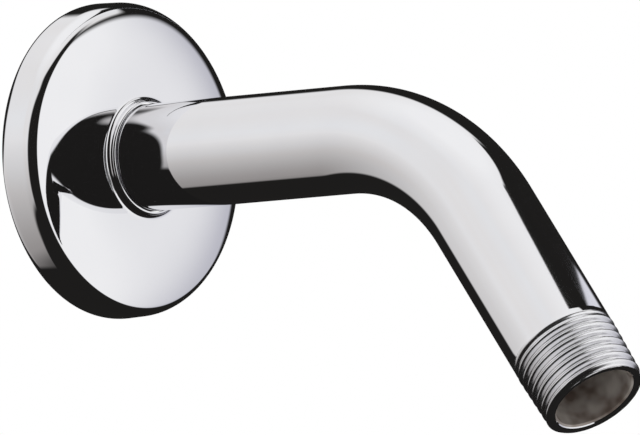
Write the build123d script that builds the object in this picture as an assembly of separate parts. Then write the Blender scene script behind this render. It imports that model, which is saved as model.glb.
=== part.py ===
from build123d import *
import math
import os

# A shower arm: a bent brass tube threaded at both ends, and the domed flange that slips over it to the wall.
# Millimetres. The origin is on the inlet axis at the wall. +X leaves the wall, +Z is up, and the arm bends down.

# Tube
tube_d = 21.0
bore_d = 16.0
wall_depth = 17.0
bend_start = 63.1
bend_radius = 43.7
bend_angle = 52.5
leg_length = 46.5

# Half inch pipe threads, drawn as plain lands at the pipe's nominal outside diameter
thread_d = 21.34
thread_length = 13.5
thread_lead_in = 1.5
end_chamfer = 0.8
mouth_chamfer = 0.5

# Flange pressing
sheet = 0.6
rim_d = 62.0
rim_draft = 2.0
rim_height = 5.46
edge_round = 0.3
shoulder_round = 3.1
dome_tilt = 20.0
dome_height = 10.35
collar_height = 11.9
collar_clearance = 0.2
collar_fillet = 0.6
lip_round = 0.25

tube_r = tube_d / 2
bore_r = bore_d / 2
thread_r = thread_d / 2
rim_r = rim_d / 2
collar_bore_r = tube_r + collar_clearance

# Places along the tube: each frame's Z axis runs from an end into the tube, or along the leg to its tip
inlet_end = Plane((-wall_depth, 0, 0), x_dir=(0, 1, 0), z_dir=(1, 0, 0))
bend_mouth = Plane((bend_start, 0, 0), x_dir=(0, 1, 0), z_dir=(1, 0, 0))
bend_axis = Axis((bend_start, 0, -bend_radius), (0, 1, 0))
turn = math.radians(bend_angle)
leg_way = Vector(math.cos(turn), 0, -math.sin(turn))
leg_root = Vector(bend_start, 0, -bend_radius) + Vector(math.sin(turn), 0, math.cos(turn)) * bend_radius
leg_start = Plane(leg_root, x_dir=(0, 1, 0), z_dir=leg_way)
outlet_end = Plane(leg_root + leg_way * leg_length, x_dir=(0, 1, 0), z_dir=-leg_way)


def turned(points, place):
    """A solid turned about a frame's Z axis, from points given as radius and depth."""
    outline = make_face(Polyline(*[(r, 0, z) for r, z in points], close=True))
    return place * revolve(outline, Axis.Z)


# The tube follows a straight run, a bend and a straight leg
def bent_rod(radius, run_from, run_length, leg):
    """A round rod along the tube's middle line."""
    run = extrude(run_from * Circle(radius), run_length)
    bend = revolve(bend_mouth * Circle(radius), bend_axis, bend_angle)
    return run + bend + extrude(leg_start * Circle(radius), leg)


# Threaded ends: a chamfered land that eases down to the tube
land = [
    (0, 0),
    (thread_r - end_chamfer, 0),
    (thread_r, end_chamfer),
    (thread_r, thread_length),
    (tube_r, thread_length + thread_lead_in),
    (0, thread_length + thread_lead_in),
]

# The water bore is opened out a little at each mouth
mouth = [
    (0, 0),
    (bore_r + mouth_chamfer, 0),
    (bore_r, mouth_chamfer),
    (0, mouth_chamfer),
]

plain_start = inlet_end.offset(thread_length)
plain_run = wall_depth + bend_start - thread_length
arm_tube = bent_rod(tube_r, plain_start, plain_run, leg_length - thread_length)
arm_tube += turned(land, inlet_end) + turned(land, outlet_end)
arm_tube -= bent_rod(bore_r, inlet_end, wall_depth + bend_start, leg_length)
arm_tube -= turned(mouth, inlet_end) + turned(mouth, outlet_end)


# The flange is one sheet pressed to a dome: the space under its outer skin, less the same space one sheet in
def under_skin(inset):
    """The profile under the flange's skin, set in by a thickness, as a face in X and radius."""
    draft = math.radians(rim_draft)
    tilt = math.radians(dome_tilt)
    edge_r = rim_r - inset / math.cos(draft)
    # The shoulder turns from the rim's side over to the tilted edge of the dome
    shoulder = shoulder_round - inset
    shoulder_x = rim_height - shoulder_round * math.sin(draft)
    shoulder_r = rim_r - rim_height * math.tan(draft) - shoulder_round * math.cos(draft)
    leans = (draft, (draft + math.pi / 2 - tilt) / 2, math.pi / 2 - tilt)
    side_top, shoulder_top, dome_edge = [
        (shoulder_x + shoulder * math.sin(lean), shoulder_r + shoulder * math.cos(lean)) for lean in leans
    ]
    # The dome flattens towards the collar, and a fillet turns it out along the tube
    collar_r = collar_bore_r + sheet - inset
    throat = collar_fillet + inset
    dome_x = dome_height - inset
    throat_x = dome_x + throat
    throat_r = collar_r + throat
    halfway = throat * math.sqrt(0.5)
    third = (dome_edge[1] - throat_r) / 3
    dome = Bezier(
        dome_edge,
        (dome_edge[0] + third * math.tan(tilt), dome_edge[1] - third),
        (dome_x, throat_r + third),
        (dome_x, throat_r),
    )
    outline = [
        Line((0, 0), (0, edge_r)),
        Line((0, edge_r), side_top),
        ThreePointArc(side_top, shoulder_top, dome_edge),
        dome,
        ThreePointArc((dome_x, throat_r), (throat_x - halfway, throat_r - halfway), (throat_x, collar_r)),
        Line((throat_x, collar_r), (collar_height, collar_r)),
        Line((collar_height, collar_r), (collar_height, 0)),
        Line((collar_height, 0), (0, 0)),
    ]
    return make_face(outline)


outer = under_skin(0)
for x, r, size in [(0, rim_r, edge_round), (collar_height, collar_bore_r + sheet, lip_round)]:
    outer = fillet(outer.vertices().sort_by_distance((x, r))[0], size)
wall_flange = revolve(outer - under_skin(sheet), Axis.X)

os.makedirs("parts", exist_ok=True)
export_step(arm_tube, "parts/arm_tube.step")
export_step(wall_flange, "parts/wall_flange.step")
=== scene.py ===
import math

import bmesh
import bpy
from mathutils import Matrix, Vector


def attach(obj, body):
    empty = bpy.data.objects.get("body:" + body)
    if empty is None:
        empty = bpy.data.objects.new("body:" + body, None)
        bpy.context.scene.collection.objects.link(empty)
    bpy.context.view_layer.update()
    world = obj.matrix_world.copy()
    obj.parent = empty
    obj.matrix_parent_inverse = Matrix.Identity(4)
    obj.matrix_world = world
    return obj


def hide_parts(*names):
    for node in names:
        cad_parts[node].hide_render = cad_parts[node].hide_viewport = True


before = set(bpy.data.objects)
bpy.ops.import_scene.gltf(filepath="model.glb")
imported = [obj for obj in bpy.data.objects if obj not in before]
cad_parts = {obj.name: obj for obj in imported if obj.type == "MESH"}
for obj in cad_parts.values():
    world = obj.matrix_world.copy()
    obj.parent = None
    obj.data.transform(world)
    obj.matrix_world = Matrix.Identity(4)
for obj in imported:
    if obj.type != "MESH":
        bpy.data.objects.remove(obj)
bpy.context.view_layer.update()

# Arm tube
# A half inch brass tube with a tapered pipe thread cut on both ends, chrome plated and then polished.
# It is turned straight and bent once, so the nodes below also draw it straight and bend it last.

MM = 0.001

tube_r = 10.5 * MM
bore_r = 8.0 * MM
inlet_tip = -17.0 * MM
bend_start = 63.1 * MM
bend_radius = 43.7 * MM
bend_angle = math.radians(52.5)
leg_length = 46.5 * MM
outlet_tip = bend_start + bend_radius * bend_angle + leg_length

thread_r = 10.67 * MM
thread_length = 13.5 * MM
thread_pitch = 25.4 / 14 * MM
thread_flat = 0.05
flank_angle = math.radians(60)
rounded_steepness = 1.5
thread_taper = 1 / 16
thread_runout = 1.8 * MM
swell_length = 1.5 * MM
end_chamfer = 0.8 * MM
mouth_chamfer = 0.5 * MM
plated_lip = 0.35

tube_columns = 128
tube_step = 1.0 * MM
rows_per_turn = 20
spare_turns = 2.0
strip_rows = 2
sharp_angle = math.radians(32)
weld = 0.002 * MM


def linear(code):
    """Turns an sRGB hex colour to the linear colour that shaders take."""
    parts = [int(code[i : i + 2], 16) / 255 for i in (0, 2, 4)]
    return [c / 12.92 if c <= 0.04045 else ((c + 0.055) / 1.055) ** 2.4 for c in parts] + [1.0]


def add_node(tree, kind, inputs=None, **settings):
    """Adds a node, sets its properties, and links or sets its inputs by name or number."""
    node = tree.nodes.new(kind)
    for name, value in settings.items():
        setattr(node, name, value)
    for name, value in (inputs or {}).items():
        if isinstance(value, bpy.types.NodeSocket):
            tree.links.new(value, node.inputs[name])
        else:
            node.inputs[name].default_value = value
    return node


def polished_chrome(name, roughness, haze, wave_depth):
    """Bright chrome plate on polished brass: a mirror with a faint haze and the soft waves of buffing."""
    haze_width = 9 * MM
    wave_width = 12 * MM
    material = bpy.data.materials.new(name)
    material.use_nodes = True
    tree = material.node_tree
    shader = tree.nodes["Principled BSDF"]
    shader.inputs["Metallic"].default_value = 1.0
    place = add_node(tree, "ShaderNodeTexCoord").outputs["Object"]
    cloud = add_node(tree, "ShaderNodeTexNoise", {"Vector": place, "Scale": 1 / haze_width, "Detail": 3.0})
    tone = add_node(tree, "ShaderNodeMix", {"Factor": cloud.outputs["Fac"]}, data_type="RGBA")
    tone.inputs["A"].default_value = linear("EAEAED")
    tone.inputs["B"].default_value = linear("EEEEF0")
    tree.links.new(tone.outputs["Result"], shader.inputs["Base Color"])
    matt = add_node(tree, "ShaderNodeMapRange", {"Value": cloud.outputs["Fac"]})
    matt.inputs["To Min"].default_value = roughness
    matt.inputs["To Max"].default_value = roughness + haze
    tree.links.new(matt.outputs["Result"], shader.inputs["Roughness"])
    wave = add_node(tree, "ShaderNodeTexNoise", {"Vector": place, "Scale": 1 / wave_width, "Detail": 0.0})
    bump = add_node(tree, "ShaderNodeBump", {"Height": wave.outputs["Fac"], "Distance": wave_depth})
    tree.links.new(bump.outputs["Normal"], shader.inputs["Normal"])
    return material


def bare_brass(name):
    """Brass that plating doesn't reach, as drawn: dull brown, with paler and darker blotches."""
    stain_width = 5 * MM
    material = bpy.data.materials.new(name)
    material.use_nodes = True
    tree = material.node_tree
    shader = tree.nodes["Principled BSDF"]
    shader.inputs["Metallic"].default_value = 0.35
    place = add_node(tree, "ShaderNodeTexCoord").outputs["Object"]
    stain = add_node(tree, "ShaderNodeTexNoise", {"Vector": place, "Scale": 1 / stain_width, "Detail": 2.0})
    patch = add_node(tree, "ShaderNodeMapRange", {"Value": stain.outputs["Fac"]})
    patch.inputs["From Min"].default_value = 0.35
    patch.inputs["From Max"].default_value = 0.65
    tone = add_node(tree, "ShaderNodeMix", {"Factor": patch.outputs[0]}, data_type="RGBA")
    tone.inputs["A"].default_value = linear("6E6058")
    tone.inputs["B"].default_value = linear("B5AEA7")
    tree.links.new(tone.outputs["Result"], shader.inputs["Base Color"])
    matt = add_node(tree, "ShaderNodeMapRange", {"Value": stain.outputs["Fac"]})
    matt.inputs["To Min"].default_value = 0.35
    matt.inputs["To Max"].default_value = 0.5
    tree.links.new(matt.outputs["Result"], shader.inputs["Roughness"])
    return material


def node_group(name, sizes):
    """A geometry node tree with named number inputs and one geometry output."""
    tree = bpy.data.node_groups.new(name, "GeometryNodeTree")
    for title, kind in sizes:
        tree.interface.new_socket(title, in_out="INPUT", socket_type=kind)
    tree.interface.new_socket("Geometry", in_out="OUTPUT", socket_type="NodeSocketGeometry")
    return tree, tree.nodes.new("NodeGroupInput").outputs, tree.nodes.new("NodeGroupOutput").inputs


def wrapped_grid(tree, rows, columns):
    """A grid with rows along the tube and columns round it, with both places as fractions from 0 to 1."""
    sheet = add_node(tree, "GeometryNodeMeshGrid", {"Size X": 1.0, "Size Y": 1.0})
    tree.links.new(rows, sheet.inputs["Vertices X"])
    tree.links.new(columns, sheet.inputs["Vertices Y"])
    place = add_node(tree, "GeometryNodeInputPosition").outputs[0]
    half = add_node(tree, "ShaderNodeVectorMath", {0: place, 1: (0.5, 0.5, 0.0)}, operation="ADD")
    split = add_node(tree, "ShaderNodeSeparateXYZ", {0: half.outputs[0]})
    return sheet.outputs["Mesh"], split.outputs["X"], split.outputs["Y"]


def rolled_up(tree, sheet, along, radius, round_share):
    """Rolls the grid to a straight tube about the X axis."""
    angle = add_node(tree, "ShaderNodeMath", {0: round_share, 1: math.tau}, operation="MULTIPLY").outputs[0]
    side = add_node(tree, "ShaderNodeMath", {0: angle}, operation="COSINE").outputs[0]
    rise = add_node(tree, "ShaderNodeMath", {0: angle}, operation="SINE").outputs[0]
    y = add_node(tree, "ShaderNodeMath", {0: side, 1: radius}, operation="MULTIPLY").outputs[0]
    z = add_node(tree, "ShaderNodeMath", {0: rise, 1: radius}, operation="MULTIPLY").outputs[0]
    place = add_node(tree, "ShaderNodeCombineXYZ", {"X": along, "Y": y, "Z": z})
    moved = add_node(tree, "GeometryNodeSetPosition", {"Geometry": sheet, "Position": place.outputs[0]})
    return moved.outputs["Geometry"]


# A plain stretch of wall between two places, each with its radius
stretch, size, out = node_group(
    "Tube stretch",
    [
        ("Rows", "NodeSocketInt"),
        ("Columns", "NodeSocketInt"),
        ("From", "NodeSocketFloat"),
        ("To", "NodeSocketFloat"),
        ("From radius", "NodeSocketFloat"),
        ("To radius", "NodeSocketFloat"),
    ],
)
sheet, along_share, round_share = wrapped_grid(stretch, size["Rows"], size["Columns"])
along = add_node(
    stretch, "ShaderNodeMapRange", {"Value": along_share, "To Min": size["From"], "To Max": size["To"]}
)
cone = add_node(
    stretch,
    "ShaderNodeMapRange",
    {"Value": along_share, "To Min": size["From radius"], "To Max": size["To radius"]},
)
rolled = rolled_up(stretch, sheet, along.outputs[0], cone.outputs[0], round_share)
stretch.links.new(rolled, out["Geometry"])

# A threaded end: rows that follow the helix, from the plain tube to the mouth of the bore
thread, size, out = node_group(
    "Threaded end",
    [
        ("Rows", "NodeSocketInt"),
        ("Rows a turn", "NodeSocketInt"),
        ("Columns", "NodeSocketInt"),
        ("From", "NodeSocketFloat"),
        ("Length", "NodeSocketFloat"),
        ("Tip", "NodeSocketFloat"),
        ("Pitch", "NodeSocketFloat"),
        ("Depth", "NodeSocketFloat"),
        ("Flat share", "NodeSocketFloat"),
        ("Radius", "NodeSocketFloat"),
        ("Taper", "NodeSocketFloat"),
        ("Runout", "NodeSocketFloat"),
        ("Swell", "NodeSocketFloat"),
        ("Swell length", "NodeSocketFloat"),
        ("Face radius", "NodeSocketFloat"),
        ("Mouth radius", "NodeSocketFloat"),
    ],
)
sheet, along_share, round_share = wrapped_grid(thread, size["Rows"], size["Columns"])
turns = add_node(
    thread, "ShaderNodeMath", {0: size["Length"], 1: size["Pitch"]}, operation="DIVIDE"
).outputs[0]
steps = add_node(thread, "ShaderNodeMath", {0: size["Rows"], 1: 1.0}, operation="SUBTRACT").outputs[0]
drawn = add_node(
    thread, "ShaderNodeMath", {0: steps, 1: size["Rows a turn"]}, operation="DIVIDE"
).outputs[0]
last = add_node(thread, "ShaderNodeMath", {0: drawn, 1: spare_turns}, operation="SUBTRACT").outputs[0]
row_turn = add_node(
    thread, "ShaderNodeMapRange", {"Value": along_share, "To Min": -spare_turns, "To Max": last}
)
helix = add_node(
    thread, "ShaderNodeMath", {0: row_turn.outputs[0], 1: round_share}, operation="ADD"
).outputs[0]
held = add_node(thread, "ShaderNodeClamp", {"Value": helix, "Min": 0.0, "Max": turns}).outputs[0]
along = add_node(
    thread, "ShaderNodeMath", {0: held, 1: size["Pitch"], 2: size["From"]}, operation="MULTIPLY_ADD"
)
from_tip = add_node(
    thread, "ShaderNodeMath", {0: along.outputs[0], 1: size["Tip"]}, operation="SUBTRACT"
).outputs[0]
depth_in = add_node(thread, "ShaderNodeMath", {0: from_tip}, operation="ABSOLUTE").outputs[0]
# Depth across one turn: 0 on the crest and 1 in the root, both rounded
half_turn = 0.5
phase = add_node(thread, "ShaderNodeMath", {0: held, 1: round_share}, operation="SUBTRACT").outputs[0]
zigzag = add_node(thread, "ShaderNodeMath", {0: phase, 1: half_turn}, operation="PINGPONG").outputs[0]
half_flat = add_node(
    thread, "ShaderNodeMath", {0: size["Flat share"], 1: 0.5}, operation="MULTIPLY"
).outputs[0]
top = add_node(thread, "ShaderNodeMath", {0: half_turn, 1: half_flat}, operation="SUBTRACT").outputs[0]
sink = add_node(
    thread,
    "ShaderNodeMapRange",
    {"Value": zigzag, "From Min": half_flat, "From Max": top, "To Min": 1.0, "To Max": 0.0},
    interpolation_type="SMOOTHSTEP",
)
# The cut runs out at the plain tube, and the crests swell from there and then fall away to the tip
run_in = add_node(
    thread, "ShaderNodeMath", {0: size["Length"], 1: size["Runout"]}, operation="SUBTRACT"
).outputs[0]
fade = add_node(
    thread,
    "ShaderNodeMapRange",
    {"Value": depth_in, "From Min": run_in, "From Max": size["Length"], "To Min": 1.0, "To Max": 0.0},
    interpolation_type="SMOOTHSTEP",
)
cut = add_node(
    thread, "ShaderNodeMath", {0: sink.outputs[0], 1: fade.outputs[0]}, operation="MULTIPLY"
).outputs[0]
cut = add_node(thread, "ShaderNodeMath", {0: cut, 1: size["Depth"]}, operation="MULTIPLY").outputs[0]
short = add_node(
    thread, "ShaderNodeMath", {0: size["Length"], 1: depth_in}, operation="SUBTRACT"
).outputs[0]
half_taper = add_node(
    thread, "ShaderNodeMath", {0: size["Taper"], 1: -0.5}, operation="MULTIPLY"
).outputs[0]
crest = add_node(
    thread, "ShaderNodeMath", {0: short, 1: half_taper, 2: size["Radius"]}, operation="MULTIPLY_ADD"
)
near = add_node(
    thread,
    "ShaderNodeMapRange",
    {"Value": short, "From Max": size["Swell length"], "To Min": 1.0, "To Max": 0.0},
)
low = add_node(
    thread, "ShaderNodeMath", {0: near.outputs[0], 1: size["Swell"], 2: cut}, operation="MULTIPLY_ADD"
).outputs[0]
wall = add_node(thread, "ShaderNodeMath", {0: crest.outputs[0], 1: low}, operation="SUBTRACT").outputs[0]
bevel = add_node(
    thread, "ShaderNodeMath", {0: size["Face radius"], 1: depth_in}, operation="ADD"
).outputs[0]
wall = add_node(thread, "ShaderNodeMath", {0: wall, 1: bevel}, operation="MINIMUM").outputs[0]
# Rows past the tip lie on the end face and reach in to the mouth
past = add_node(thread, "ShaderNodeMath", {0: helix, 1: held}, operation="SUBTRACT").outputs[0]
past = add_node(thread, "ShaderNodeMath", {0: past}, operation="ABSOLUTE").outputs[0]
past = add_node(thread, "ShaderNodeMath", {0: past, 1: 1.0}, operation="MINIMUM").outputs[0]
on_face = add_node(thread, "ShaderNodeMath", {0: depth_in, 1: weld}, operation="LESS_THAN").outputs[0]
inward = add_node(thread, "ShaderNodeMath", {0: past, 1: on_face}, operation="MULTIPLY").outputs[0]
radius = add_node(
    thread, "ShaderNodeMapRange", {"Value": inward, "To Min": wall, "To Max": size["Mouth radius"]}
)
cut_end = add_node(
    thread,
    "GeometryNodeStoreNamedAttribute",
    {
        "Geometry": rolled_up(thread, sheet, along.outputs[0], radius.outputs[0], round_share),
        "Name": "cut_thread",
        "Value": True,
    },
    data_type="BOOLEAN",
    domain="FACE",
)
thread.links.new(cut_end.outputs[0], out["Geometry"])

# The whole tube: stretches and threaded ends welded together, bent, and given its metals
plate = polished_chrome("chrome_plate_polished_tube", roughness=0.012, haze=0.01, wave_depth=0.0015 * MM)
cut_plate = polished_chrome("chrome_plate_on_cut_thread", roughness=0.16, haze=0.08, wave_depth=0.01 * MM)
bore_metal = bare_brass("brass_bare_drawn")
arm_sizes = {
    "Columns": ("NodeSocketInt", tube_columns + 1),
    "Step": ("NodeSocketFloat", tube_step),
    "Tube radius": ("NodeSocketFloat", tube_r),
    "Bore radius": ("NodeSocketFloat", bore_r),
    "Inlet tip": ("NodeSocketFloat", inlet_tip),
    "Outlet tip": ("NodeSocketFloat", outlet_tip),
    "Bend start": ("NodeSocketFloat", bend_start),
    "Bend radius": ("NodeSocketFloat", bend_radius),
    "Bend angle": ("NodeSocketFloat", bend_angle),
    "Thread radius": ("NodeSocketFloat", thread_r),
    "Thread length": ("NodeSocketFloat", thread_length),
    "Thread pitch": ("NodeSocketFloat", thread_pitch),
    "Thread flat share": ("NodeSocketFloat", thread_flat),
    "Thread taper": ("NodeSocketFloat", thread_taper),
    "Thread runout": ("NodeSocketFloat", thread_runout),
    "Swell length": ("NodeSocketFloat", swell_length),
    "End chamfer": ("NodeSocketFloat", end_chamfer),
    "Mouth chamfer": ("NodeSocketFloat", mouth_chamfer),
    "Plated lip": ("NodeSocketFloat", plated_lip),
    "Plate": ("NodeSocketMaterial", plate),
    "Thread plate": ("NodeSocketMaterial", cut_plate),
    "Bore metal": ("NodeSocketMaterial", bore_metal),
}
arm, size, out = node_group("Bent threaded tube", [(title, kind) for title, (kind, _) in arm_sizes.items()])
plain_from = add_node(
    arm, "ShaderNodeMath", {0: size["Inlet tip"], 1: size["Thread length"]}, operation="ADD"
).outputs[0]
plain_to = add_node(
    arm, "ShaderNodeMath", {0: size["Outlet tip"], 1: size["Thread length"]}, operation="SUBTRACT"
).outputs[0]
swell = add_node(
    arm, "ShaderNodeMath", {0: size["Thread radius"], 1: size["Tube radius"]}, operation="SUBTRACT"
)
plain_run = add_node(arm, "ShaderNodeMath", {0: plain_to, 1: plain_from}, operation="SUBTRACT").outputs[0]
plain_rows = add_node(arm, "ShaderNodeMath", {0: plain_run, 1: size["Step"]}, operation="DIVIDE").outputs[0]
skin = add_node(arm, "GeometryNodeGroup", node_tree=stretch)
for title, value in [
    ("Rows", plain_rows),
    ("Columns", size["Columns"]),
    ("From", plain_from),
    ("To", plain_to),
    ("From radius", size["Tube radius"]),
    ("To radius", size["Tube radius"]),
]:
    arm.links.new(value, skin.inputs[title])

# The thread's depth follows from its pitch and from its flanks, which stand at 60 degrees to each other
# They are rounded, and so this much steeper at their middle than straight flanks of the same depth
sharp_depth = math.sin(flank_angle) / rounded_steepness
flank = add_node(
    arm, "ShaderNodeMath", {0: size["Thread flat share"], 1: -2.0, 2: 1.0}, operation="MULTIPLY_ADD"
)
sharp = add_node(arm, "ShaderNodeMath", {0: size["Thread pitch"], 1: sharp_depth}, operation="MULTIPLY")
depth = add_node(
    arm, "ShaderNodeMath", {0: sharp.outputs[0], 1: flank.outputs[0]}, operation="MULTIPLY"
).outputs[0]
face_r = add_node(
    arm, "ShaderNodeMath", {0: size["Thread radius"], 1: size["End chamfer"]}, operation="SUBTRACT"
)
mouth_r = add_node(
    arm, "ShaderNodeMath", {0: size["Bore radius"], 1: size["Mouth chamfer"]}, operation="ADD"
).outputs[0]
thread_rows = math.ceil(rows_per_turn * (thread_length / thread_pitch + 2 * spare_turns)) + 1
outer = [skin.outputs[0]]
for start, tip in [(size["Inlet tip"], size["Inlet tip"]), (plain_to, size["Outlet tip"])]:
    end = add_node(arm, "GeometryNodeGroup", node_tree=thread)
    end.inputs["Rows"].default_value = thread_rows
    end.inputs["Rows a turn"].default_value = rows_per_turn
    for title, value in [
        ("Columns", size["Columns"]),
        ("From", start),
        ("Length", size["Thread length"]),
        ("Tip", tip),
        ("Pitch", size["Thread pitch"]),
        ("Depth", depth),
        ("Flat share", size["Thread flat share"]),
        ("Radius", size["Thread radius"]),
        ("Taper", size["Thread taper"]),
        ("Runout", size["Thread runout"]),
        ("Swell", swell.outputs[0]),
        ("Swell length", size["Swell length"]),
        ("Face radius", face_r.outputs[0]),
        ("Mouth radius", mouth_r),
    ]:
        arm.links.new(value, end.inputs[title])
    outer.append(end.outputs[0])

# The bore runs back from the outlet to the inlet, with a small chamfer at both mouths
# The plating reaches over the lip of each chamfer, and the rest of the bore is bare
lip = add_node(
    arm, "ShaderNodeMath", {0: size["Mouth chamfer"], 1: size["Plated lip"]}, operation="MULTIPLY"
).outputs[0]
lip_r = add_node(arm, "ShaderNodeMath", {0: mouth_r, 1: lip}, operation="SUBTRACT").outputs[0]
places = []
for tip, sense in [(size["Outlet tip"], -1.0), (size["Inlet tip"], 1.0)]:
    for reach in (lip, size["Mouth chamfer"]):
        place = add_node(arm, "ShaderNodeMath", {0: reach, 1: sense, 2: tip}, operation="MULTIPLY_ADD")
        places.append(place.outputs[0])
outlet_lip, outlet_bore, inlet_lip, inlet_bore = places
bare = add_node(arm, "GeometryNodeJoinGeometry")
for rows, start, end, start_r, end_r, is_bare in [
    (strip_rows, size["Outlet tip"], outlet_lip, mouth_r, lip_r, False),
    (strip_rows, outlet_lip, outlet_bore, lip_r, size["Bore radius"], True),
    (plain_rows, outlet_bore, inlet_bore, size["Bore radius"], size["Bore radius"], True),
    (strip_rows, inlet_bore, inlet_lip, size["Bore radius"], lip_r, True),
    (strip_rows, inlet_lip, size["Inlet tip"], lip_r, mouth_r, False),
]:
    part = add_node(arm, "GeometryNodeGroup", {"Rows": rows, "Columns": size["Columns"]}, node_tree=stretch)
    for title, value in [("From", start), ("To", end), ("From radius", start_r), ("To radius", end_r)]:
        arm.links.new(value, part.inputs[title])
    if is_bare:
        arm.links.new(part.outputs[0], bare.inputs[0])
    else:
        outer.append(part.outputs[0])
marked = add_node(
    arm,
    "GeometryNodeStoreNamedAttribute",
    {"Geometry": bare.outputs[0], "Name": "bare_metal", "Value": True},
    data_type="BOOLEAN",
    domain="FACE",
)
whole = add_node(arm, "GeometryNodeJoinGeometry")
for part in outer + [marked.outputs[0]]:
    arm.links.new(part, whole.inputs[0])
welded = add_node(arm, "GeometryNodeMergeByDistance", {"Geometry": whole.outputs[0], "Distance": weld})
# The rolled grids face the middle line, so every face is turned round
outward = add_node(arm, "GeometryNodeFlipFaces", {"Mesh": welded.outputs[0]})

# The bend turns each ring about the bend's pivot, by as much of the bend as lies before it
place = add_node(arm, "GeometryNodeInputPosition").outputs[0]
split = add_node(arm, "ShaderNodeSeparateXYZ", {0: place})
bend_run = add_node(
    arm, "ShaderNodeMath", {0: size["Bend radius"], 1: size["Bend angle"]}, operation="MULTIPLY"
)
bend_end = add_node(
    arm, "ShaderNodeMath", {0: size["Bend start"], 1: bend_run.outputs[0]}, operation="ADD"
).outputs[0]
turned = add_node(
    arm,
    "ShaderNodeMapRange",
    {
        "Value": split.outputs["X"],
        "From Min": size["Bend start"],
        "From Max": bend_end,
        "To Max": size["Bend angle"],
    },
)
before = add_node(
    arm, "ShaderNodeMath", {0: split.outputs["X"], 1: size["Bend start"]}, operation="MINIMUM"
).outputs[0]
after = add_node(
    arm, "ShaderNodeMath", {0: split.outputs["X"], 1: bend_end}, operation="SUBTRACT"
).outputs[0]
after = add_node(arm, "ShaderNodeMath", {0: after, 1: 0.0}, operation="MAXIMUM").outputs[0]
unbent_x = add_node(arm, "ShaderNodeMath", {0: before, 1: after}, operation="ADD").outputs[0]
unbent = add_node(
    arm,
    "ShaderNodeCombineXYZ",
    {"X": unbent_x, "Y": split.outputs["Y"], "Z": split.outputs["Z"]},
)
below = add_node(arm, "ShaderNodeMath", {0: size["Bend radius"], 1: -1.0}, operation="MULTIPLY").outputs[0]
pivot = add_node(arm, "ShaderNodeCombineXYZ", {"X": size["Bend start"], "Z": below})
bent = add_node(
    arm,
    "ShaderNodeVectorRotate",
    {"Vector": unbent.outputs[0], "Center": pivot.outputs[0], "Angle": turned.outputs[0]},
    rotation_type="Y_AXIS",
)
shaped = add_node(
    arm,
    "GeometryNodeSetPosition",
    {"Geometry": outward.outputs[0], "Position": bent.outputs[0]},
)
fold = add_node(arm, "GeometryNodeInputMeshEdgeAngle").outputs["Unsigned Angle"]
crisp = add_node(
    arm, "FunctionNodeCompare", {"A": fold, "B": sharp_angle}, operation="GREATER_THAN"
).outputs[0]
smooth = add_node(arm, "GeometryNodeSetShadeSmooth", {"Geometry": shaped.outputs[0]}, domain="FACE")
edged = add_node(
    arm,
    "GeometryNodeSetShadeSmooth",
    {"Geometry": smooth.outputs[0], "Selection": crisp, "Shade Smooth": False},
    domain="EDGE",
)
real = add_node(arm, "GeometryNodeRealizeInstances", {"Geometry": edged.outputs[0]})
metals = add_node(arm, "GeometryNodeSetMaterial", {"Geometry": real.outputs[0], "Material": size["Plate"]})
for mark, metal in [("cut_thread", "Thread plate"), ("bare_metal", "Bore metal")]:
    is_here = add_node(arm, "GeometryNodeInputNamedAttribute", {"Name": mark}, data_type="BOOLEAN")
    metals = add_node(
        arm,
        "GeometryNodeSetMaterial",
        {"Geometry": metals.outputs[0], "Selection": is_here.outputs["Attribute"], "Material": size[metal]},
    )
arm.links.new(metals.outputs[0], out["Geometry"])

bent_tube = bpy.data.objects.new("bent_tube", bpy.data.meshes.new("bent_tube_seed"))
bpy.context.scene.collection.objects.link(bent_tube)
maker = bent_tube.modifiers.new("Bent threaded tube", "NODES")
maker.node_group = arm
for socket in arm.interface.items_tree:
    if socket.in_out == "INPUT":
        maker[socket.identifier] = arm_sizes[socket.name][1]
made = bent_tube.evaluated_get(bpy.context.evaluated_depsgraph_get())
finished = bpy.data.meshes.new_from_object(made)
bent_tube.modifiers.clear()
bent_tube.data = finished
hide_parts("arm_tube")
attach(bent_tube, "arm")

# Wall flange
# A thin brass sheet pressed to a shallow dome, with a drafted rim and a short collar drawn round the tube.
# Chrome plated, polished outside and dull inside; it slips over the tube and hides the hole in the wall.

sheet_thickness = 0.6 * MM
rim_r = 31.0 * MM
rim_draft = math.radians(2.0)
rim_height = 5.46 * MM
edge_reach = 1.4 * MM
edge_round = 0.48 * MM
shoulder_round = 3.1 * MM
dome_tilt = math.radians(20.0)
dome_height = 10.35 * MM
collar_height = 11.9 * MM
collar_r = 11.3 * MM
collar_fillet = 0.95 * MM
lip_round = 0.55 * MM

flange_columns = 192
dome_rings = 48
round_steps = 24
edge_steps = 10


def arc(middle, radius, start, end, steps, reach=None):
    """Points on an arc in X and radius, by the turn from the radius to +X. A reach makes it an ellipse."""
    points = []
    for step in range(steps + 1):
        turn = start + (end - start) * step / steps
        points.append((middle[0] + (reach or radius) * math.sin(turn), middle[1] + radius * math.cos(turn)))
    return points


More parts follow.
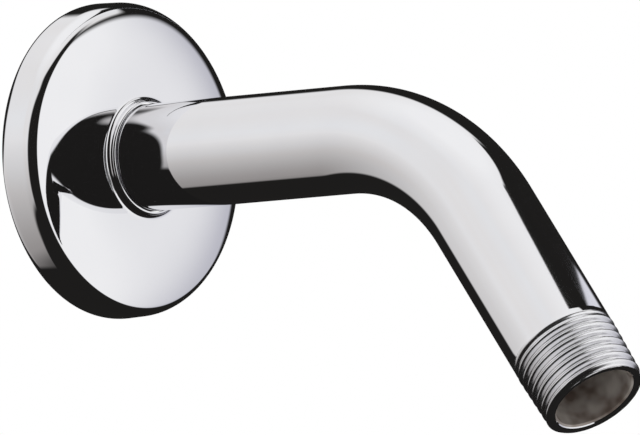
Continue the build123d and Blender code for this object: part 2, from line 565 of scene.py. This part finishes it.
def pressed_skin(inset):
    """One side of the sheet, from the rim over shoulder and dome to the collar, set in by a thickness."""
    shoulder_x = rim_height - shoulder_round * math.sin(rim_draft)
    shoulder_r = rim_r - rim_height * math.tan(rim_draft) - shoulder_round * math.cos(rim_draft)
    shoulder_end = math.pi / 2 - dome_tilt
    skin = arc((shoulder_x, shoulder_r), shoulder_round - inset, rim_draft, shoulder_end, round_steps)
    # The dome leaves the shoulder at its tilt and flattens to the collar on one cubic curve
    throat = collar_fillet + inset
    throat_r = collar_r - inset + throat
    from_x, from_r = skin[-1]
    third = (from_r - throat_r) / 3
    heights = [from_x, from_x + third * math.tan(dome_tilt), dome_height - inset, dome_height - inset]
    for ring in range(1, dome_rings):
        share = ring / dome_rings
        weights = [math.comb(3, k) * share**k * (1 - share) ** (3 - k) for k in range(4)]
        skin.append((sum(w * x for w, x in zip(weights, heights)), from_r - 3 * third * share))
    # A fillet turns the sheet out along the tube
    skin += arc((dome_height - inset + throat, throat_r), throat, 1.5 * math.pi, math.pi, edge_steps)
    return skin


outer_skin = pressed_skin(0.0)
inner_skin = pressed_skin(sheet_thickness)
# The back edge is rolled in a little, on an ellipse that runs on into the drafted side
edge_turn = math.atan(math.tan(rim_draft) * edge_reach / edge_round)
edge_x = edge_reach * (1 + math.sin(edge_turn))
edge_r = rim_r - edge_x * math.tan(rim_draft) - edge_round * math.cos(edge_turn)
edge = arc((edge_reach, edge_r), edge_round, -math.pi / 2, edge_turn, 2 * edge_steps, edge_reach)
lip = arc((collar_height - lip_round, collar_r - lip_round), lip_round, 0.0, math.pi / 2, edge_steps)
polished = edge + outer_skin + lip
inner_edge = (0.0, rim_r - sheet_thickness / math.cos(rim_draft))
section = polished + [(collar_height, collar_r - sheet_thickness)] + inner_skin[::-1] + [inner_edge]
polished_faces = len(polished)

lathe = bmesh.new()
rings = []
for x, r in section:
    ring = []
    for column in range(flange_columns):
        angle = math.tau * column / flange_columns
        ring.append(lathe.verts.new((x, r * math.cos(angle), r * math.sin(angle))))
    rings.append(ring)
for number, ring in enumerate(rings):
    following = rings[(number + 1) % len(rings)]
    for column in range(flange_columns):
        beside = (column + 1) % flange_columns
        face = lathe.faces.new((ring[column], ring[beside], following[beside], following[column]))
        face.material_index = 0 if number < polished_faces else 1
bmesh.ops.recalc_face_normals(lathe, faces=lathe.faces)
flange_mesh = bpy.data.meshes.new("flange_pressing")
lathe.to_mesh(flange_mesh)
lathe.free()
flange_mesh.shade_smooth()
flange_mesh.set_sharp_from_angle(angle=sharp_angle)
for finish in (
    polished_chrome("chrome_plate_polished_flange", roughness=0.015, haze=0.015, wave_depth=0.004 * MM),
    polished_chrome("chrome_plate_dull_inside", roughness=0.28, haze=0.1, wave_depth=0.01 * MM),
):
    flange_mesh.materials.append(finish)
flange_pressing = bpy.data.objects.new("flange_pressing", flange_mesh)
bpy.context.scene.collection.objects.link(flange_pressing)
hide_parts("wall_flange")
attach(flange_pressing, "flange")

# Studio
# A pale floor, and a white tent of light with black and white cards, which draw the bands in the chrome.
# The cards are part of the sky: each is a rounded patch with a soft edge, in degrees as seen from the arm.

floor_drop = 0.45
floor_half = 4.0
floor_colour = "F4F4F4"
floor_roughness = 0.9
floor_mesh = bpy.data.meshes.new("studio_floor")
corners = [(x * floor_half, y * floor_half, -floor_drop) for x, y in [(-1, -1), (1, -1), (1, 1), (-1, 1)]]
floor_mesh.from_pydata(corners, [], [(0, 1, 2, 3)])
floor = bpy.data.objects.new("studio_floor", floor_mesh)
bpy.context.scene.collection.objects.link(floor)
floor.visible_glossy = False
pale = bpy.data.materials.new("pale_paper_floor")
pale.use_nodes = True
pale.node_tree.nodes["Principled BSDF"].inputs["Base Color"].default_value = linear(floor_colour)
pale.node_tree.nodes["Principled BSDF"].inputs["Roughness"].default_value = floor_roughness
floor_mesh.materials.append(pale)

# Each card has its middle and half its size, in azimuth from -Y towards +X and in elevation,
# then how square its outline is, the width of its soft edge, and its colour
# One card hangs askew by a slope, and one fades to another colour at its far side
card_black = "201F1E"
cards = {
    "dark_room": {"at": (158, -29), "half": (118, 62.5), "square": 12, "soft": 3, "colour": card_black},
    "dark_front": {"at": (68, -5), "half": (60, 46), "square": 2.5, "soft": 7, "colour": card_black},
    "dark_below": {"at": (100, -62), "half": (150, 34), "square": 2.5, "soft": 8, "colour": card_black},
    "dark_floor": {"at": (0, -90), "half": (400, 40), "square": 12, "soft": 8, "colour": card_black},
    "dark_behind": {"at": (186.5, 29), "half": (48.5, 31), "square": 2, "soft": 4, "colour": card_black},
    "dark_high": {"at": (82, 38.5), "half": (38, 9), "square": 4, "soft": 4, "colour": card_black},
    "dark_edge": {"at": (-99, 17), "half": (42, 19), "square": 3, "soft": 3, "colour": card_black},
    "white_panel": {"at": (124, 0), "half": (46.5, 31), "square": 3, "soft": 3, "colour": "FFFFFF"},
}
cards["dark_behind"]["slope"] = 0.12
cards["white_panel"]["far"] = "C6C6CF"

# The straight leg mirrors one thin ring of the sky, where three more papers hang behind the arm
# Two black ones draw the dark stripe of bend and leg, and a pale one the light end of that stripe
# Each is cut askew: between two angles from the leg's axis, its near edge goes between two shares of +Y
# Its other edges go from bare to covered: by a share of +X, an angle from the leg's axis or an elevation
papers = {
    "black_paper": {
        "ring": (118.19, 118.96),
        "near_edge": (-0.005, 0.2),
        "soft": 0.015,
        "edges": [("X", -0.05, 0.05), ("from_leg", 117.59, 117.89), ("elevation", 65, 63)],
        "colour": card_black,
    },
    "leg_paper": {
        "ring": (118.5, 119.0),
        "near_edge": (-0.12, 0.17),
        "soft": 0.015,
        "edges": [("X", -0.05, 0.05), ("from_leg", 117.9, 118.2), ("from_leg", 119.12, 119.02)],
        "colour": card_black,
    },
    "pale_paper": {
        "ring": (118.48, 118.61),
        "near_edge": (0.54, 0.84),
        "soft": 0.03,
        "edges": [("from_leg", 118.64, 118.6), ("from_leg", 118.18, 118.28), ("elevation", 23, 31)],
        "colour": "E4E4EC",
    },
}

# The tent goes from grey to white cloth over the lower elevations, and to its brightest over the upper ones
top_white = "FFFFFF"
cool_white = "F2F4F6"
warm_white = "EEEAE7"
low_grey = "9F9B99"
backdrop_white = "FFFFFF"
lower_elevations = (-46, 10)
upper_elevations = (46, 74)
cloth_folds = 2.2

world = bpy.data.worlds.new("studio_tent")
world.use_nodes = True
bpy.context.scene.world = world
sky = world.node_tree
sky.nodes.clear()
toward = add_node(sky, "ShaderNodeTexCoord").outputs["Generated"]
way = add_node(sky, "ShaderNodeSeparateXYZ", {0: toward})
front = add_node(sky, "ShaderNodeMath", {0: way.outputs["Y"], 1: -1.0}, operation="MULTIPLY").outputs[0]
azimuth = add_node(sky, "ShaderNodeMath", {0: way.outputs["X"], 1: front}, operation="ARCTAN2").outputs[0]
elevation = add_node(sky, "ShaderNodeMath", {0: way.outputs["Z"]}, operation="ARCSINE").outputs[0]
climbs = []
for lowest, highest in (lower_elevations, upper_elevations):
    climb = add_node(sky, "ShaderNodeMapRange", {"Value": elevation})
    climb.inputs["From Min"].default_value = math.radians(lowest)
    climb.inputs["From Max"].default_value = math.radians(highest)
    climbs.append(climb.outputs[0])
from_grey, to_top = climbs
folds = add_node(sky, "ShaderNodeTexNoise", {"Vector": toward, "Scale": cloth_folds, "Detail": 1.0})
cloth = add_node(sky, "ShaderNodeMix", {"Factor": folds.outputs["Fac"]}, data_type="RGBA")
cloth.inputs["A"].default_value = linear(warm_white)
cloth.inputs["B"].default_value = linear(cool_white)
lit = add_node(sky, "ShaderNodeMix", {"Factor": to_top, "A": cloth.outputs["Result"]}, data_type="RGBA")
lit.inputs["B"].default_value = linear(top_white)
tent = add_node(sky, "ShaderNodeMix", {"Factor": from_grey, "B": lit.outputs["Result"]}, data_type="RGBA")
tent.inputs["A"].default_value = linear(low_grey)

leg_way = (math.cos(bend_angle), 0.0, -math.sin(bend_angle))
along_leg = add_node(
    sky, "ShaderNodeVectorMath", {0: toward, 1: leg_way}, operation="DOT_PRODUCT"
).outputs["Value"]
from_leg = add_node(sky, "ShaderNodeMath", {0: along_leg}, operation="ARCCOSINE").outputs[0]
degree = math.radians(1)
measures = {"X": (way.outputs["X"], 1.0), "from_leg": (from_leg, degree), "elevation": (elevation, degree)}


def pasted(below, paper):
    """A paper laid over the sky below it, up to its soft edges."""
    near, far = [math.radians(angle) for angle in paper["ring"]]
    edge = add_node(sky, "ShaderNodeMapRange", {"Value": from_leg, "From Min": near, "From Max": far})
    edge.inputs["To Min"].default_value = paper["near_edge"][0]
    edge.inputs["To Max"].default_value = paper["near_edge"][1]
    past = add_node(sky, "ShaderNodeMath", {0: way.outputs["Y"], 1: edge.outputs[0]}, operation="SUBTRACT")
    edges = [(past.outputs[0], -paper["soft"], paper["soft"])]
    for measure, bare, covered in paper["edges"]:
        value, unit = measures[measure]
        edges.append((value, bare * unit, covered * unit))
    cover = 1.0
    for value, bare, covered in edges:
        step = add_node(sky, "ShaderNodeMapRange", {"Value": value}, interpolation_type="SMOOTHSTEP")
        step.inputs["From Min"].default_value = bare
        step.inputs["From Max"].default_value = covered
        cover = add_node(
            sky, "ShaderNodeMath", {0: step.outputs[0], 1: cover}, operation="MULTIPLY"
        ).outputs[0]
    laid = add_node(sky, "ShaderNodeMix", {"Factor": cover, "A": below}, data_type="RGBA")
    laid.inputs["B"].default_value = linear(paper["colour"])
    return laid.outputs["Result"]


hung = pasted(tent.outputs["Result"], papers["black_paper"])
hung = pasted(hung, papers["leg_paper"])
for card in cards.values():
    across, rise = [math.radians(half) for half in card["half"]]
    middle, level = [math.radians(place) for place in card["at"]]
    away = add_node(sky, "ShaderNodeMath", {0: azimuth, 1: middle}, operation="SUBTRACT").outputs[0]
    away = add_node(sky, "ShaderNodeMath", {0: away, 1: math.pi, 2: -math.pi}, operation="WRAP").outputs[0]
    slope = card.get("slope", 0.0)
    line = add_node(
        sky, "ShaderNodeMath", {0: away, 1: slope, 2: level}, operation="MULTIPLY_ADD"
    ).outputs[0]
    above = add_node(sky, "ShaderNodeMath", {0: elevation, 1: line}, operation="SUBTRACT").outputs[0]
    total = 0.0
    for offset, half in ((away, across), (above, rise)):
        share = add_node(sky, "ShaderNodeMath", {0: offset, 1: half}, operation="DIVIDE").outputs[0]
        share = add_node(sky, "ShaderNodeMath", {0: share}, operation="ABSOLUTE").outputs[0]
        share = add_node(sky, "ShaderNodeMath", {0: share, 1: card["square"]}, operation="POWER").outputs[0]
        total = add_node(sky, "ShaderNodeMath", {0: share, 1: total}, operation="ADD").outputs[0]
    outline = add_node(
        sky, "ShaderNodeMath", {0: total, 1: 1 / card["square"]}, operation="POWER"
    ).outputs[0]
    blur = math.radians(card["soft"]) / 2 / min(across, rise)
    cover = add_node(sky, "ShaderNodeMapRange", {"Value": outline}, interpolation_type="SMOOTHSTEP")
    cover.inputs["From Min"].default_value = 1 + blur
    cover.inputs["From Max"].default_value = 1 - blur
    paint = add_node(sky, "ShaderNodeMix", {"A": linear(card["colour"])}, data_type="RGBA")
    paint.inputs["B"].default_value = linear(card.get("far", card["colour"]))
    fade = add_node(
        sky, "ShaderNodeMapRange", {"Value": away, "From Max": across}, interpolation_type="SMOOTHSTEP"
    )
    sky.links.new(fade.outputs[0], paint.inputs["Factor"])
    hung = add_node(
        sky,
        "ShaderNodeMix",
        {"Factor": cover.outputs[0], "A": hung, "B": paint.outputs["Result"]},
        data_type="RGBA",
    ).outputs["Result"]
hung = pasted(hung, papers["pale_paper"])
mirrored = add_node(sky, "ShaderNodeLightPath").outputs["Is Glossy Ray"]
backdrop = add_node(sky, "ShaderNodeMix", {"Factor": mirrored, "B": hung}, data_type="RGBA")
backdrop.inputs["A"].default_value = linear(backdrop_white)
shine = add_node(sky, "ShaderNodeBackground", {"Color": backdrop.outputs["Result"], "Strength": 1.0})
add_node(sky, "ShaderNodeOutputWorld", {"Surface": shine.outputs[0]})

# Camera
# It stands to the right of the front and a little below the arm, far off behind a long lens.

aim = Vector((58.4, -3.1, -15.1)) * MM
camera_distance = 3.0888
camera_azimuth = math.radians(41.55)
camera_elevation = math.radians(-6.327)
camera_roll = math.radians(0.652)

camera = bpy.data.cameras.new("photo_camera")
camera.lens = 900
camera.sensor_width = 36
camera.sensor_fit = "HORIZONTAL"
camera.clip_start = 0.1
camera.clip_end = 30
photo_camera = bpy.data.objects.new("photo_camera", camera)
bpy.context.scene.collection.objects.link(photo_camera)
bpy.context.scene.camera = photo_camera
back = Vector(
    (
        math.sin(camera_azimuth) * math.cos(camera_elevation),
        -math.cos(camera_azimuth) * math.cos(camera_elevation),
        math.sin(camera_elevation),
    )
)
upright = back.to_track_quat("Z", "Y").to_matrix().to_4x4()
photo_camera.matrix_world = (
    Matrix.Translation(aim + back * camera_distance) @ upright @ Matrix.Rotation(camera_roll, 4, "Z")
)

bpy.context.scene.view_settings.view_transform = "Standard"
